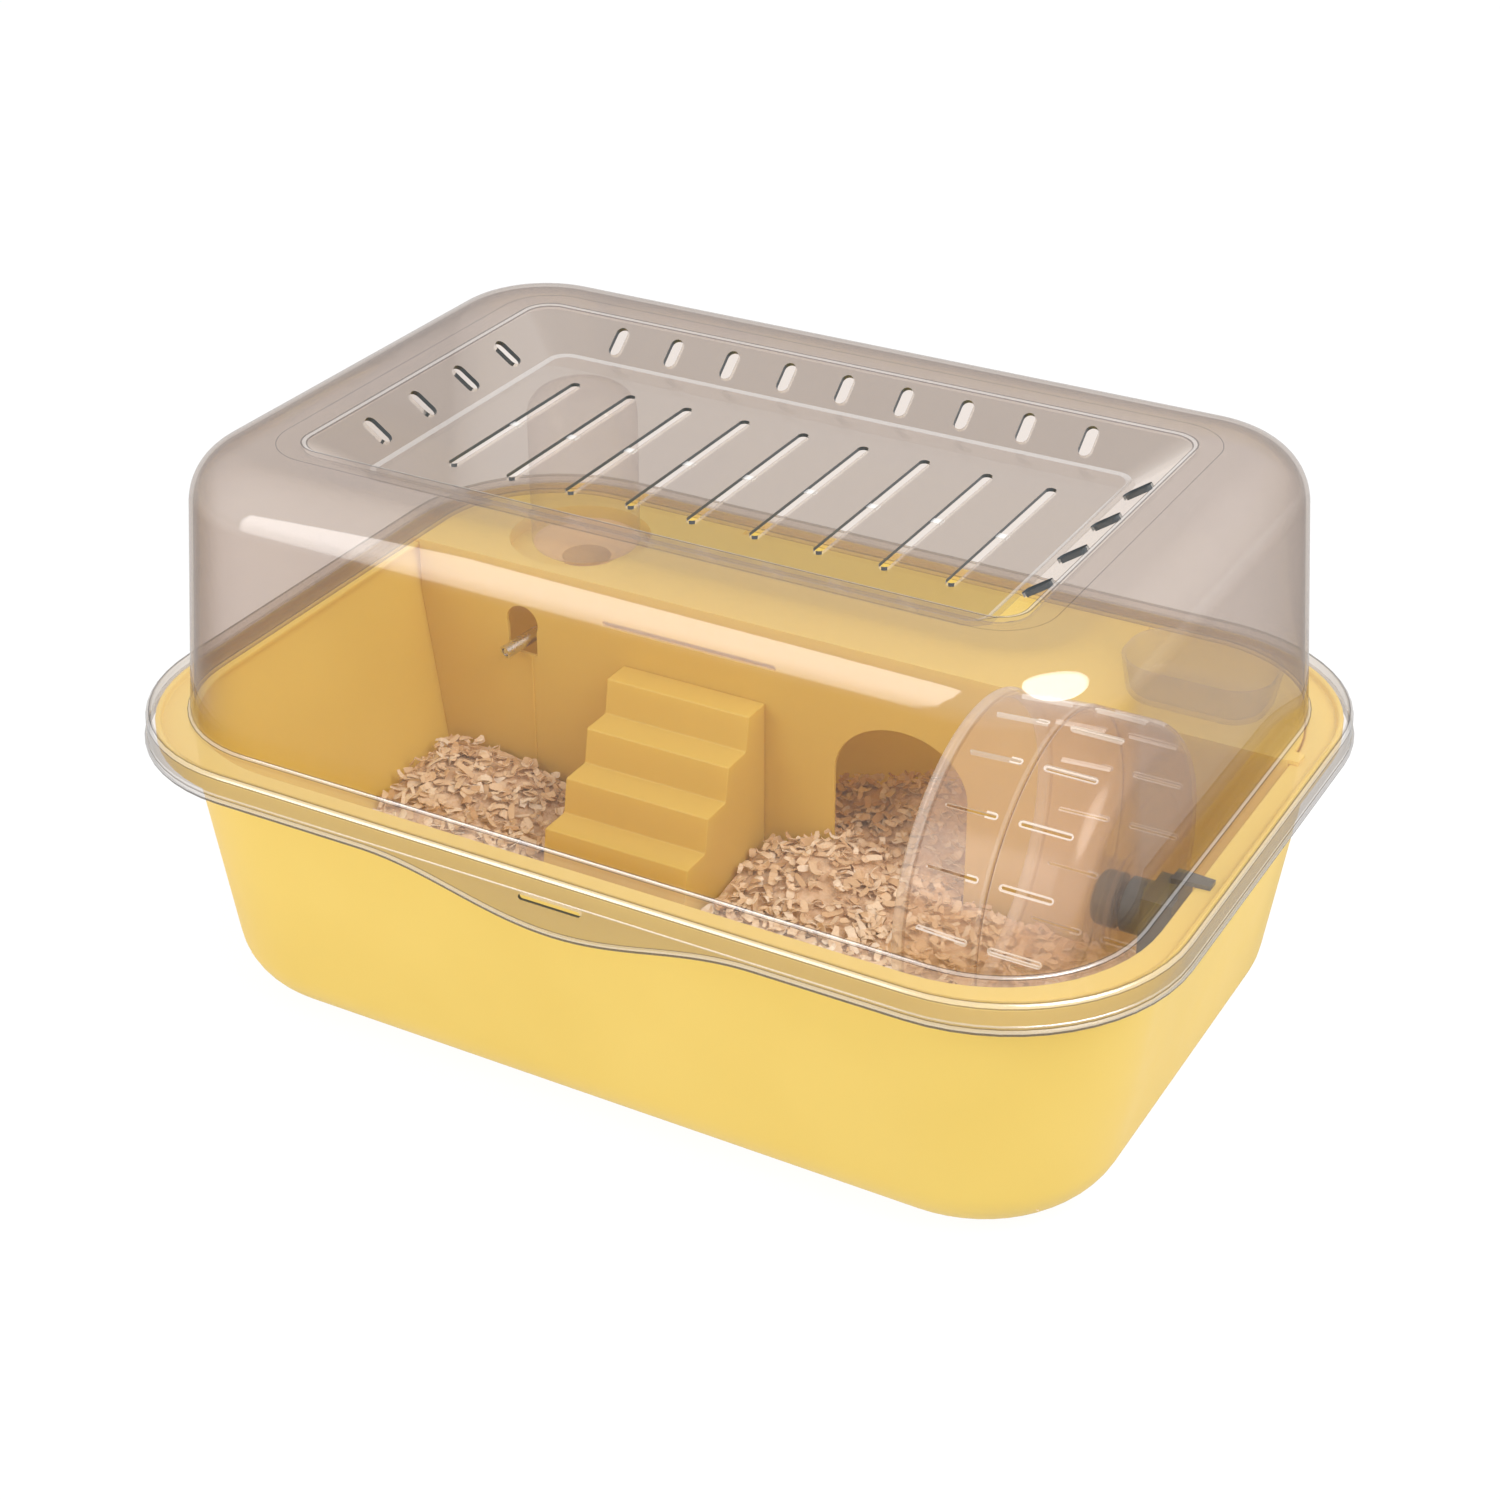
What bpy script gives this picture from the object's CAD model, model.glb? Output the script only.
"""Looks for the hamster cage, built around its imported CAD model. Metres, in the CAD model's frame."""
import math
import random

import bmesh
import bpy
from mathutils import Matrix, Vector, noise


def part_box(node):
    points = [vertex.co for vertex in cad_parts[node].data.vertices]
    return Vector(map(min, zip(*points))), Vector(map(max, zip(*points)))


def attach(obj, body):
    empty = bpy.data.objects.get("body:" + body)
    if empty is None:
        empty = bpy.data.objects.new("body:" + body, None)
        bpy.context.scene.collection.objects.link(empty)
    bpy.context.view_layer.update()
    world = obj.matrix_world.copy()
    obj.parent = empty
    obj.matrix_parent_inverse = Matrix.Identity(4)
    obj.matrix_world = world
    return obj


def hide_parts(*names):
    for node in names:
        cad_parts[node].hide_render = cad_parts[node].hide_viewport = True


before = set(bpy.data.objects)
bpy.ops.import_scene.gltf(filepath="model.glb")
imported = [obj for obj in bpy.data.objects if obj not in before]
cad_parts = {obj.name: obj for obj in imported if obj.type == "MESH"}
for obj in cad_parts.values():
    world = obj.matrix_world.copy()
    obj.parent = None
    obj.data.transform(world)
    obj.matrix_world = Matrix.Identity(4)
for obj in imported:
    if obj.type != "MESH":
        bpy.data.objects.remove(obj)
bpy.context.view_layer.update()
COLLECTION = bpy.context.scene.collection

COVER_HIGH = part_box("cover")[1]
TUB_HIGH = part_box("tub")[1]
LOFT_LOW, LOFT_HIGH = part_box("loft")
STAIRS_LOW, STAIRS_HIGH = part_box("stairs")
RING_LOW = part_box("wheel_ring")[0]
DISC_LOW, DISC_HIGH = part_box("wheel_disc")
BOTTLE_LOW, BOTTLE_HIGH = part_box("bottle")
DISH_LOW, DISH_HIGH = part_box("food_dish")

# Rounded rectangles have this many steps in a corner and along the front and back
CORNER_STEPS = 14
SIDE_STEPS = 60


# ---------------------------------------------------------------- mesh tools

def add_object(name, mesh, body, slot, *replaced):
    """Links a finished mesh as a piece that rides on a body."""
    piece = bpy.data.objects.new(name, mesh)
    COLLECTION.objects.link(piece)
    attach(piece, body)
    if replaced:
        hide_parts(*replaced)
    return piece


def paint(piece, material):
    piece.data.materials.clear()
    piece.data.materials.append(material)


def mesh_from(name, points, faces):
    """A mesh with its faces turned outwards."""
    mesh = bpy.data.meshes.new(name)
    mesh.from_pydata([tuple(p) for p in points], [], faces)
    built = bmesh.new()
    built.from_mesh(mesh)
    bmesh.ops.recalc_face_normals(built, faces=built.faces)
    built.to_mesh(mesh)
    built.free()
    return mesh


def modified(mesh, name, set_up):
    """The mesh after the modifiers that set_up adds to an object that holds it."""
    holder = bpy.data.objects.new(name + "_work", mesh)
    COLLECTION.objects.link(holder)
    set_up(holder)
    graph = bpy.context.evaluated_depsgraph_get()
    made = bpy.data.meshes.new_from_object(holder.evaluated_get(graph), depsgraph=graph)
    bpy.data.objects.remove(holder)
    made.name = name
    return made


def clean(mesh):
    """Takes out the faces without area that cuts and bevels leave."""
    built = bmesh.new()
    built.from_mesh(mesh)
    bmesh.ops.remove_doubles(built, verts=built.verts, dist=2e-6)
    bmesh.ops.dissolve_degenerate(built, dist=1e-6, edges=built.edges)
    built.to_mesh(mesh)
    built.free()
    return mesh


def smooth(mesh, sharp_degrees=32):
    """Smooth shading, with edges over sharp_degrees kept sharp and large faces kept flat."""
    clean(mesh)
    mesh.shade_smooth()
    mesh.set_sharp_from_angle(angle=math.radians(sharp_degrees))

    def add_weighting(holder):
        weighting = holder.modifiers.new("weighting", "WEIGHTED_NORMAL")
        weighting.keep_sharp = True
        weighting.weight = 80

    return modified(mesh, mesh.name, add_weighting)


def cut(mesh, cutter):
    """The mesh with the cutter's closed shapes taken out of it, with the cutter's material."""
    tool = bpy.data.objects.new("cutter", cutter)
    COLLECTION.objects.link(tool)

    def add_cut(holder):
        boolean = holder.modifiers.new("cut", "BOOLEAN")
        boolean.operation = "DIFFERENCE"
        boolean.solver = "EXACT"
        boolean.material_mode = "TRANSFER"
        boolean.object = tool

    made = modified(mesh, mesh.name, add_cut)
    bpy.data.objects.remove(tool)
    return made


def bevelled(mesh, width):
    """The mesh with its edges over 40 degrees rounded."""
    def add_bevel(holder):
        bevel = holder.modifiers.new("bevel", "BEVEL")
        bevel.width = width
        bevel.segments = 2
        bevel.limit_method = "ANGLE"
        bevel.angle_limit = math.radians(40)
        bevel.use_clamp_overlap = True
        bevel.miter_outer = "MITER_ARC"

    return modified(mesh, mesh.name, add_bevel)


def from_cad(node, bevel_width):
    """A CAD node's own shape with its sharp edges rounded, as a new mesh."""
    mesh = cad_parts[node].data.copy()
    mesh.name = node + "_shape"
    built = bmesh.new()
    built.from_mesh(mesh)
    bmesh.ops.remove_doubles(built, verts=built.verts, dist=1e-6)
    bmesh.ops.dissolve_limit(built, angle_limit=math.radians(0.8), verts=built.verts,
                             edges=built.edges)
    built.to_mesh(mesh)
    built.free()
    mesh.materials.clear()
    return smooth(bevelled(mesh, bevel_width))


def add_moulding(node, mesh, slot, material):
    """Adds a mesh made by from_cad as the piece that stands for its CAD node in the tub."""
    paint(add_object(node + "_moulding", mesh, "tub_body", slot, node), material)


def arc(cx, cy, r, start, end, steps):
    """Points on an arc, in degrees."""
    angles = [math.radians(start + (end - start) * i / steps) for i in range(steps + 1)]
    return [(cx + r * math.cos(a), cy + r * math.sin(a)) for a in angles]


def mix(a, b, t):
    """The point or outline that lies at a share t of the way from a to b."""
    return tuple(x + (y - x) * t for x, y in zip(a, b))


def bend(a, b, c, steps=4):
    """Outlines that round the corner b between a and c."""
    return [mix(mix(a, b, i / steps), mix(b, c, i / steps), i / steps) for i in range(steps + 1)]


def grown(outline, by, z=None):
    """A rounded rectangle (half length, half width, corner radius, height) offset sideways."""
    half_l, half_w, r, old_z = outline
    return half_l + by, half_w + by, r + by, old_z if z is None else z


def outline_points(half_l, half_w, r, z):
    """Points around a rounded rectangle, with the back and front sides divided."""
    cx, cy = half_l - r, half_w - r
    points = []
    for side_x, side_y, start in ((1, 1, 0), (-1, 1, 90), (-1, -1, 180), (1, -1, 270)):
        points += [Vector((x, y, z)) for x, y in
                   arc(side_x * cx, side_y * cy, r, start, start + 90, CORNER_STEPS)]
        if side_x == side_y:
            points += [Vector((side_x * cx * (1 - 2 * i / SIDE_STEPS), side_y * half_w, z))
                       for i in range(1, SIDE_STEPS)]
    return points


def lofted(name, outlines, shape_point=None, finishes=None, cap=0):
    """A closed mesh through a row of rounded rectangles, capped at both ends. finishes has the
    material's number for the faces that end at each outline, and cap that of both caps."""
    points, faces, numbers = [], [], []
    count = 0
    for n, outline in enumerate(outlines):
        loop = outline_points(*outline)
        count = len(loop)
        points += [shape_point(p) for p in loop] if shape_point else loop
        if n:
            low = (n - 1) * count
            faces += [(low + i, low + (i + 1) % count, low + count + (i + 1) % count,
                       low + count + i) for i in range(count)]
            numbers += [finishes[n] if finishes else 0] * count
    last = (len(outlines) - 1) * count
    faces.append(tuple(range(count)))
    faces.append(tuple(range(last, last + count)))
    mesh = mesh_from(name, points, faces)
    mesh.polygons.foreach_set("material_index", numbers + [cap, cap])
    return mesh


def revolved(name, profile, place, steps=144, finishes=None):
    """A closed mesh turned from (radius, height) points. place(x, y, z) puts each point, and
    finishes has the material's number for the faces that start at each point."""
    points, faces, numbers = [], [], []
    count = len(profile)
    for i in range(steps):
        a = 2 * math.pi * i / steps
        points += [place(r * math.cos(a), r * math.sin(a), z) for r, z in profile]
    for i in range(steps):
        here, there = i * count, (i + 1) % steps * count
        faces += [(here + k, there + k, there + (k + 1) % count, here + (k + 1) % count)
                  for k in range(count)]
        numbers += [finishes[k] if finishes else 0 for k in range(count)]
    built = mesh_from(name, points, faces)
    built.polygons.foreach_set("material_index", numbers)
    welded = bmesh.new()
    welded.from_mesh(built)
    bmesh.ops.remove_doubles(welded, verts=welded.verts, dist=1e-7)
    bmesh.ops.recalc_face_normals(welded, faces=welded.faces)
    welded.to_mesh(built)
    welded.free()
    return built


def slot_prism(length, width, depth, steps=8):
    """Points and faces of a bar with round ends, along X, to cut a slot."""
    ring = ([(x, y) for x, y in arc((length - width) / 2, 0, width / 2, -90, 90, steps)]
            + [(x, y) for x, y in arc(-(length - width) / 2, 0, width / 2, 90, 270, steps)])
    count = len(ring)
    points = [Vector((x, y, z)) for z in (-depth / 2, depth / 2) for x, y in ring]
    faces = [(i, (i + 1) % count, count + (i + 1) % count, count + i) for i in range(count)]
    faces += [tuple(range(count)), tuple(range(count, 2 * count))]
    return points, faces


def cutter_from(placed, material):
    """One mesh of slot prisms, from (matrix, length, width, depth) rows."""
    points, faces = [], []
    for matrix, length, width, depth in placed:
        new_points, new_faces = slot_prism(length, width, depth)
        start = len(points)
        points += [matrix @ p for p in new_points]
        faces += [tuple(start + i for i in face) for face in new_faces]
    mesh = mesh_from("slots", points, faces)
    mesh.materials.append(material)
    return mesh


def shift(x, y, z):
    return Matrix.Translation((x, y, z))


def turn(degrees, axis):
    return Matrix.Rotation(math.radians(degrees), 4, axis)


# ---------------------------------------------------------------- materials

class Shader:
    """A material's node tree, with short calls to add and join nodes."""

    def __init__(self, name):
        self.material = bpy.data.materials.new(name)
        self.material.use_nodes = True
        self.tree = self.material.node_tree
        self.tree.nodes.clear()
        self.out = self.tree.nodes.new("ShaderNodeOutputMaterial")

    def node(self, kind, links=None, **values):
        made = self.tree.nodes.new("ShaderNode" + kind)
        for key, value in values.items():
            setattr(made, key, value)
        for key, value in (links or {}).items():
            socket = made.inputs[key]
            if isinstance(value, bpy.types.NodeSocket):
                self.tree.links.new(value, socket)
            else:
                socket.default_value = value
        return made

    def noise(self, scale, detail=3.0, rough=0.55):
        place = self.node("TexCoord").outputs["Object"]
        return self.node("TexNoise", {"Vector": place, "Scale": scale, "Detail": detail,
                                      "Roughness": rough}).outputs["Fac"]

    def ramp(self, fac, *stops):
        made = self.node("ValToRGB", {"Fac": fac})
        elements = made.color_ramp.elements
        while len(elements) < len(stops):
            elements.new(0.5)
        for element, (position, colour) in zip(elements, stops):
            element.position = position
            element.color = (*colour, 1)
        return made.outputs["Color"]

    def bump(self, height, strength, distance):
        return self.node("Bump", {"Height": height, "Strength": strength,
                                  "Distance": distance}).outputs["Normal"]

    def finish(self, surface):
        self.tree.links.new(surface, self.out.inputs["Surface"])
        return self.material


def moulded_plastic(name, low, high, roughness, glow=0.0, bump_strength=0.10):
    """Moulded plastic: faint colour drift, a fine grain and slightly uneven gloss. glow is the
    share of light that a thin wall lets through."""
    s = Shader(name)
    colour = s.ramp(s.noise(9.0, 2.0), (0.35, low), (0.65, high))
    gloss = s.node("MapRange", {"Value": s.noise(60.0), "To Min": roughness - 0.05,
                                "To Max": roughness + 0.07}).outputs["Result"]
    fine = s.bump(s.noise(900.0, 2.0), bump_strength, 0.0004)
    shell = s.node("BsdfPrincipled", {"Base Color": colour, "Roughness": gloss, "Normal": fine,
                                      "Specular IOR Level": 0.5}).outputs["BSDF"]
    if glow:
        through = s.node("BsdfTranslucent", {"Color": colour}).outputs["BSDF"]
        shell = s.node("MixShader", {"Fac": glow, 1: shell, 2: through}).outputs["Shader"]
    return s.finish(shell)


def see_through(name, tint, edge_tint, haze_colour, haze, mirror, roughness, sky_mirror=0.0,
                inner=False, edge_at=1.0, mirror_edge=0.6):
    """Thin clear plastic: light goes straight through, tinted from tint face on to edge_tint at
    glancing angles (fully from edge_at on), with a haze and a mirror film that grows towards the
    edges, up to mirror_edge. sky_mirror adds to it on faces that look up. Light that falls
    through onto other pieces keeps nearly all its strength. inner is for pieces under others: it
    counts as refraction, so that a ray gets through all the layers."""
    s = Shader(name)
    facing = s.node("LayerWeight", {"Blend": 0.5}).outputs["Facing"]
    drift = s.node("MapRange", {"Value": s.noise(14.0, 2.0), "To Min": -0.02, "To Max": 0.02}
                   ).outputs["Result"]
    slant = s.node("Math", {0: facing, 1: 2.0}, operation="POWER").outputs["Value"]
    slant = s.node("Math", {0: slant, 1: drift}, operation="ADD", use_clamp=True)
    film = s.ramp(slant.outputs["Value"], (0.0, tint), (edge_at, edge_tint))
    if inner:
        clear = s.node("BsdfRefraction", {"Color": film, "IOR": 1.001, "Roughness": 0.0})
    else:
        clear = s.node("BsdfTransparent", {"Color": film})
    clear = clear.outputs["BSDF"]
    milk = s.node("BsdfDiffuse", {"Color": (*haze_colour, 1), "Roughness": 0.0}).outputs["BSDF"]
    body = s.node("MixShader", {"Fac": haze, 1: clear, 2: milk}).outputs["Shader"]
    grazing = s.node("Math", {0: facing, 1: 5.0}, operation="POWER").outputs["Value"]
    share = s.node("MapRange", {"Value": grazing, "To Min": mirror, "To Max": mirror_edge}
                   ).outputs["Result"]
    if sky_mirror:
        normal = s.node("NewGeometry").outputs["Normal"]
        height = s.node("SeparateXYZ", {"Vector": normal}).outputs["Z"]
        height = s.node("Math", {0: height}, operation="ABSOLUTE").outputs["Value"]
        more = s.node("MapRange", {"Value": height, "From Min": 0.12, "From Max": 0.42,
                                   "To Min": 0.0, "To Max": sky_mirror}).outputs["Result"]
        share = s.node("Math", {0: share, 1: more}, operation="ADD").outputs["Value"]
    wave = s.bump(s.noise(7.0, 1.0), 0.10, 0.004)
    gloss = s.node("BsdfAnisotropic", {"Color": (1, 1, 1, 1), "Roughness": roughness,
                                       "Normal": wave}).outputs["BSDF"]
    seen = s.node("MixShader", {"Fac": share, 1: body, 2: gloss}).outputs["Shader"]
    path = s.node("LightPath")
    lighting = s.node("Math", {0: path.outputs["Is Shadow Ray"], 1: path.outputs["Is Diffuse Ray"]},
                      operation="MAXIMUM").outputs["Value"]
    open_air = s.node("BsdfTransparent", {"Color": (0.99, 0.985, 0.98, 1)}).outputs["BSDF"]
    return s.finish(s.node("MixShader", {"Fac": lighting, 1: seen, 2: open_air}).outputs["Shader"])


def cut_edge(name, seen, behind, behind_share):
    """The wall of a slot in clear plastic: dark where it is looked at, and pale where total
    reflection lights it from behind."""
    s = Shader(name)
    drift = s.noise(120.0, 2.0)
    dark = s.ramp(drift, (0.3, seen), (0.7, tuple(1.3 * c for c in seen)))
    front = s.node("BsdfPrincipled", {"Base Color": dark, "Roughness": 0.3}).outputs["BSDF"]
    pale = s.ramp(drift, (0.3, behind), (0.7, tuple(0.93 * c for c in behind)))
    clear = s.node("BsdfTransparent", {"Color": pale}).outputs["BSDF"]
    milk = s.node("BsdfDiffuse", {"Color": pale}).outputs["BSDF"]
    back = s.node("MixShader", {"Fac": behind_share, 1: clear, 2: milk}).outputs["Shader"]
    fresnel = s.node("Fresnel", {"IOR": 1.5}).outputs["Fac"]
    total = s.node("MapRange", {"Value": fresnel, "From Min": 0.55, "From Max": 0.9}
                   ).outputs["Result"]
    return s.finish(s.node("MixShader", {"Fac": total, 1: front, 2: back}).outputs["Shader"])


def brushed_steel(name):
    s = Shader(name)
    gloss = s.node("MapRange", {"Value": s.noise(300.0), "To Min": 0.18, "To Max": 0.34}
                   ).outputs["Result"]
    shell = s.node("BsdfPrincipled", {"Base Color": (0.72, 0.72, 0.74, 1), "Metallic": 1.0,
                                      "Roughness": gloss,
                                      "Normal": s.bump(s.noise(1500.0), 0.05, 0.0002)})
    return s.finish(shell.outputs["BSDF"])


def wood_shaving(name):
    """Pale softwood: each flake has its own tone, with a grain along it."""
    s = Shader(name)
    own = s.node("NewGeometry").outputs["Random Per Island"]
    tone = s.ramp(own, (0.0, (0.66, 0.43, 0.23)), (0.2, (0.82, 0.61, 0.39)),
                  (0.7, (0.92, 0.75, 0.55)), (1.0, (0.98, 0.88, 0.74)))
    grain = s.ramp(s.noise(700.0, 4.0), (0.3, (0.92, 0.88, 0.84)), (0.7, (1.0, 1.0, 1.0)))
    colour = s.node("Mix", data_type="RGBA", blend_type="MULTIPLY")
    colour.inputs["Factor"].default_value = 0.7
    s.tree.links.new(tone, colour.inputs[6])
    s.tree.links.new(grain, colour.inputs[7])
    shell = s.node("BsdfPrincipled", {"Base Color": colour.outputs[2], "Roughness": 0.7,
                                      "Normal": s.bump(s.noise(900.0, 3.0), 0.3, 0.0004)})
    return s.finish(shell.outputs["BSDF"])


def sawdust(name):
    """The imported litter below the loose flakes."""
    s = Shader(name)
    colour = s.ramp(s.noise(260.0, 6.0, 0.7), (0.3, (0.66, 0.42, 0.23)), (0.5, (0.84, 0.61, 0.40)),
                    (0.7, (0.94, 0.75, 0.55)))
    shell = s.node("BsdfPrincipled", {"Base Color": colour, "Roughness": 0.85,
                                      "Normal": s.bump(s.noise(300.0, 5.0), 0.8, 0.002)})
    return s.finish(shell.outputs["BSDF"])


YELLOW = moulded_plastic("yellow_plastic", (0.905, 0.705, 0.168), (0.930, 0.735, 0.190), 0.36,
                         glow=0.36)
FITTING_YELLOW = moulded_plastic("fitting_yellow", (0.970, 0.775, 0.195), (0.980, 0.800, 0.215),
                                 0.36, glow=0.42)
GREY = moulded_plastic("grey_plastic", (0.072, 0.068, 0.058), (0.105, 0.098, 0.082), 0.30,
                       bump_strength=0.15)
RUBBER = moulded_plastic("seal_rubber", (0.70, 0.70, 0.68), (0.78, 0.78, 0.75), 0.7,
                         bump_strength=0.25)
SMOKE_HAZE = (0.85, 0.76, 0.70)
SMOKED = see_through("smoked_plastic", (0.935, 0.900, 0.878), (0.49, 0.425, 0.38), SMOKE_HAZE,
                     haze=0.015, mirror=0.015, roughness=0.04, sky_mirror=0.065)
SMOKED_RECESS = see_through("smoked_recess", (0.790, 0.760, 0.735), (0.800, 0.775, 0.755),
                            SMOKE_HAZE, haze=0.015, mirror=0.015, roughness=0.05, inner=True)
SMOKED_SLOPE = see_through("smoked_slope", (0.735, 0.708, 0.685), (0.975, 0.965, 0.955),
                           SMOKE_HAZE, haze=0.015, mirror=0.010, roughness=0.05, inner=True,
                           edge_at=0.62, mirror_edge=0.06)
SMOKED_RIM = see_through("smoked_rim", (0.965, 0.945, 0.930), (0.90, 0.87, 0.84),
                         (0.92, 0.86, 0.80), haze=0.05, mirror=0.03, roughness=0.08, inner=True)
SMOKED_SKIRT = see_through("smoked_skirt", (0.845, 0.810, 0.775), (0.48, 0.45, 0.42),
                           (0.90, 0.84, 0.78), haze=0.03, mirror=0.03, roughness=0.08, inner=True)
SMOKED_EDGE = see_through("smoked_edge", (0.90, 0.88, 0.87), (0.72, 0.70, 0.69),
                          (0.96, 0.94, 0.93), haze=0.09, mirror=0.24, roughness=0.22, inner=True)
SMOKED_LINE = see_through("smoked_line", (0.47, 0.45, 0.44), (0.38, 0.37, 0.36),
                          (0.30, 0.28, 0.28), haze=0.10, mirror=0.04, roughness=0.10, inner=True)
SMOKED_BRIDGE = see_through("smoked_bridge", (0.95, 0.93, 0.92), (0.80, 0.78, 0.77),
                            (1.0, 0.98, 0.96), haze=0.55, mirror=0.10, roughness=0.15, inner=True)
SMOKED_CUT = cut_edge("smoked_cut", (0.045, 0.055, 0.062), (0.98, 0.95, 0.92), 0.25)
WHEEL_CLEAR = see_through("clear_plastic", (0.965, 0.925, 0.895), (0.80, 0.73, 0.67),
                          (1.0, 0.80, 0.64), haze=0.09, mirror=0.045, roughness=0.18, inner=True)
WHEEL_EDGE = see_through("clear_edge", (0.96, 0.93, 0.90), (0.84, 0.80, 0.75),
                         (1.0, 0.90, 0.80), haze=0.20, mirror=0.05, roughness=0.12, inner=True)
WHEEL_LINE = see_through("clear_line", (0.80, 0.72, 0.64), (0.70, 0.62, 0.54),
                         (0.75, 0.60, 0.46), haze=0.10, mirror=0.03, roughness=0.10, inner=True)
WHEEL_CUT = see_through("clear_cut", (0.97, 0.95, 0.93), (0.93, 0.90, 0.87),
                        (1.0, 0.95, 0.88), haze=0.70, mirror=0.06, roughness=0.15, inner=True)
BOTTLE_CLEAR = see_through("bottle_plastic", (0.975, 0.960, 0.950), (0.86, 0.83, 0.82),
                           (0.80, 0.72, 0.70), haze=0.02, mirror=0.02, roughness=0.05,
                           sky_mirror=0.02, inner=True)
BOTTLE_SHADE = see_through("bottle_shoulder", (0.80, 0.62, 0.40), (0.70, 0.54, 0.34),
                           (0.80, 0.55, 0.27), haze=0.80, mirror=0.02, roughness=0.10, inner=True)
DISH_CLEAR = see_through("dish_plastic", (0.965, 0.95, 0.935), (0.84, 0.81, 0.78),
                         (0.80, 0.76, 0.72), haze=0.05, mirror=0.03, roughness=0.08, inner=True)
STEEL = brushed_steel("steel")
SHAVING = wood_shaving("wood_shavings")
SAWDUST = sawdust("packed_litter")


# ---------------------------------------------------------------- cover

COVER_L, COVER_W, COVER_TOP = COVER_HIGH.x, COVER_HIGH.y, COVER_HIGH.z
COVER_R = 0.085
WALL = 0.0018
SKIRT_Z = 0.131
FLANGE_Z = 0.1434
DOME_FOOT_R = COVER_R - 0.0215
DOME_TOP_R = DOME_FOOT_R - 0.009
SHOULDER_R = 0.026
FOOT_FILLET = 0.0015
BEAD_R = 0.0022
SKIRT_R = COVER_R - 0.0012
SKIRT_EDGE_Z = SKIRT_Z + 0.0030
RIB_Z = 0.1355
RIB_LOW_Z = RIB_Z - 0.0010
RECESS_DEPTH = 0.016
FLOOR_WALL = 0.0017
# Outlines: half length, half width, corner radius, height
RECESS_RIM = (0.170, 0.0985, 0.0127, COVER_TOP)
RECESS_FLOOR = (0.147, 0.079, 0.009, COVER_TOP - RECESS_DEPTH)
TAB_X, TAB_HALF, TAB_DROP = 0.004, 0.095, 0.014
LONG_SLOTS, SLOT_PITCH, END_SLOTS, END_PITCH = 9, 0.0301, 4, 0.0346
# Length, width and depth of the slots' cutters
LONG_SLOT = (0.104, 0.0046, 0.008)
SLOPE_SLOT = (0.015, 0.0060, 0.009)
TAB_SLOT = (0.030, 0.0027, 0.012)
# Columns of slots from left to right
COLUMNS = [(i - (LONG_SLOTS - 1) / 2) * SLOT_PITCH for i in range(LONG_SLOTS)]


def about_cover(r, z):
    """An outline of the cover, by its distance from the corner centres."""
    return COVER_L - COVER_R + r, COVER_W - COVER_R + r, r, z


def drop_tab(point):
    """Draws the lower edge of the front skirt, below its thin rib, down into the wavy pull tab."""
    x, y, z = point
    along = (x - TAB_X) / TAB_HALF
    behind_skirt = 0.004 - COVER_W
    if abs(along) >= 1 or z >= RIB_LOW_Z or y > behind_skirt:
        return point
    share = min(1.0, (RIB_LOW_Z - z) / (RIB_LOW_Z - SKIRT_EDGE_Z))
    return Vector((x, y, z - share * TAB_DROP * math.cos(math.pi / 2 * along) ** 2))


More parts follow.
